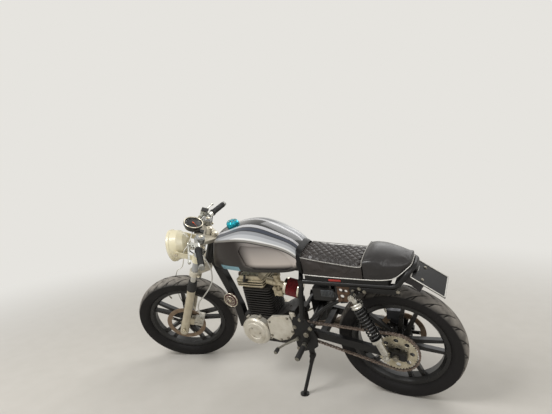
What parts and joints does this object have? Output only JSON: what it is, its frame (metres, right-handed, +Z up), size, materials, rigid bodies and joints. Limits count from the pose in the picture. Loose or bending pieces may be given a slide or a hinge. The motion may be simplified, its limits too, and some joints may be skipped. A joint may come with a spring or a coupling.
{
  "type": "cafe racer motorcycle",
  "caption": "Cafe racer motorcycle leaning on its side stand: low bars, long tank, quilted seat with a tail hump, open engine, cast wheels",
  "frame": {"origin": "centre of the bounding box in plan, on the ground, as parked on the side stand", "axes": "+X to the rear wheel, +Y to the machine's right, +Z up"},
  "size_m": [2, 0.7106, 1.0507],
  "materials": {
    "frame_paint": "satin black paint",
    "zinc_steel": "zinc plated, dull",
    "chain_steel": "oiled and rusty",
    "shock_alloy": "satin",
    "spring_steel": "gloss black",
    "engine_black": "cast alloy in matt black stove paint",
    "head_alloy": "sand cast, stained",
    "cover_alloy": "cast, buffed dull",
    "carb_alloy": "die cast",
    "filter_cloth": "oiled red gauze",
    "exhaust_steel": "heat stained",
    "horn_enamel": "dark red enamel",
    "tank_paint": "gloss black with a matt grey side",
    "cap_alloy": "blue anodised",
    "black_plastic": "moulded",
    "seat_leather": "quilted, brown black",
    "hump_leather": "smooth black",
    "bracket_paint": "satin dark grey",
    "plate_plastic": "blank, gloss black",
    "control_steel": "plated, with black rubber on the pegs",
    "caliper_alloy": "cast",
    "fork_paint": "sand grey paint",
    "stanchion_chrome": "hard chrome with black dust covers",
    "yoke_paint": "satin black",
    "bar_alloy": "bead blasted",
    "grip_rubber": "ribbed",
    "control_alloy": "polished",
    "lamp_enamel": "cream enamel, yellowed",
    "lamp_glass": "clear, fluted",
    "gauge_black": "gloss black cup, chrome rim",
    "hose_braid": "woven steel",
    "cable_cover": "pale plastic cover",
    "tyre_rubber": "moulded road tread",
    "wheel_paint": "cast alloy in satin black paint",
    "disc_iron": "rust brown",
    "sprocket_steel": "plated",
    "stand_steel": "chipped black paint"
  },
  "bodies": {
    "frame": {"main_frame": "frame_paint", "seat_subframe": "frame_paint", "axle_and_pivot": "zinc_steel", "swingarm": "frame_paint", "drive_chain": "chain_steel", "shock_bodies": "shock_alloy", "shock_springs": "spring_steel", "crankcase": "engine_black", "cylinder_barrel": "engine_black", "cylinder_head": "head_alloy", "engine_covers": "cover_alloy", "carburettor": "carb_alloy", "air_filter": "filter_cloth", "exhaust": "exhaust_steel", "horn": "horn_enamel", "fuel_tank": "tank_paint", "fuel_cap": "cap_alloy", "seat_base": "black_plastic", "seat_cushion": "seat_leather", "seat_hump": "hump_leather", "plate_bracket": "bracket_paint", "number_plate": "plate_plastic", "inner_panels": "black_plastic", "foot_controls": "control_steel", "rear_caliper": "caliper_alloy"},
    "steering": {"fork_lowers": "fork_paint", "stanchions": "stanchion_chrome", "yokes": "yoke_paint", "clip_ons": "bar_alloy", "grips": "grip_rubber", "hand_controls": "control_alloy", "headlight_shell": "lamp_enamel", "headlight_lens": "lamp_glass", "gauge": "gauge_black", "front_caliper": "caliper_alloy", "brake_hose": "hose_braid", "speedo_cable": "cable_cover"},
    "front_wheel": {"front_tyre": "tyre_rubber", "front_wheel_casting": "wheel_paint", "front_disc": "disc_iron"},
    "rear_wheel": {"rear_tyre": "tyre_rubber", "rear_wheel_casting": "wheel_paint", "rear_sprocket": "sprocket_steel", "rear_disc": "disc_iron"},
    "side_stand": {"side_stand": "stand_steel"}
  },
  "joints": [
    {"name": "steering_head", "type": "hinge", "parent": "frame", "child": "steering", "pos_m": [-0.37123, -0.02843, 0.78783], "axis": [0.4506, -0.2456, 0.8583], "range_deg": [-44, 0]},
    {"name": "front_axle", "type": "hinge", "parent": "steering", "child": "front_wheel", "pos_m": [-0.6879, 0.08542, 0.30344], "axis": [-0.3354, 0.8444, 0.4177], "continuous": true},
    {"name": "rear_axle", "type": "hinge", "parent": "frame", "child": "rear_wheel", "pos_m": [0.67796, 0.10876, 0.31348], "axis": [-0.0011, 0.9613, 0.2756], "continuous": true},
    {"name": "side_stand_pivot", "type": "hinge", "parent": "frame", "child": "side_stand", "pos_m": [0.23133, -0.00447, 0.21685], "axis": [0.1016, -0.9792, -0.1754], "range_deg": [0, 92]}
  ]
}
